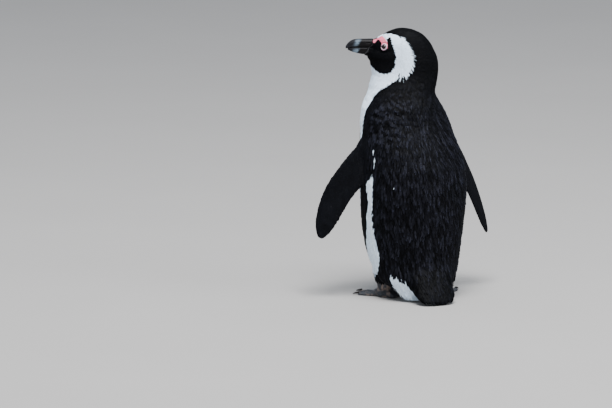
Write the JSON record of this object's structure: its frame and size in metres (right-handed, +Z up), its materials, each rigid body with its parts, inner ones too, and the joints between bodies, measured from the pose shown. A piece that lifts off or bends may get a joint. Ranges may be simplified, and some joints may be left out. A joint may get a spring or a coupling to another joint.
{
  "type": "african penguin",
  "caption": "Life-size african penguin standing upright, head turned to its left, flippers held out from the body, tail tip resting on the ground.",
  "frame": {"origin": "middle of the bounding box's outline on the floor, at the level of the soles", "axes": "+Z up; the trunk faces -Y and the bird's left side is +X; the bill is turned 65 degrees from -Y towards +X"},
  "size_m": [0.3396, 0.2244, 0.481],
  "materials": {
    "plumage": "dense short feathers, black above with a faint blue sheen and white below",
    "foot_skin": "dull scaly skin, black with pinkish grey patches",
    "bill_horn": "smooth black horn with a paler blue-grey band",
    "eye_surface": "wet and shiny",
    "claw_horn": "dull black horn"
  },
  "bodies": {
    "root": {"trunk": "plumage", "neck": "plumage", "head": "plumage", "tail": "plumage", "flipper_left": "plumage", "flipper_right": "plumage", "leg_left": "plumage", "leg_right": "plumage", "foot_left": "foot_skin", "foot_right": "foot_skin", "bill_upper": "bill_horn", "bill_lower": "bill_horn", "eye_left": "eye_surface", "eye_right": "eye_surface", "claw_inner_left": "claw_horn", "claw_middle_left": "claw_horn", "claw_outer_left": "claw_horn", "claw_inner_right": "claw_horn", "claw_middle_right": "claw_horn", "claw_outer_right": "claw_horn"}
  },
  "joints": []
}
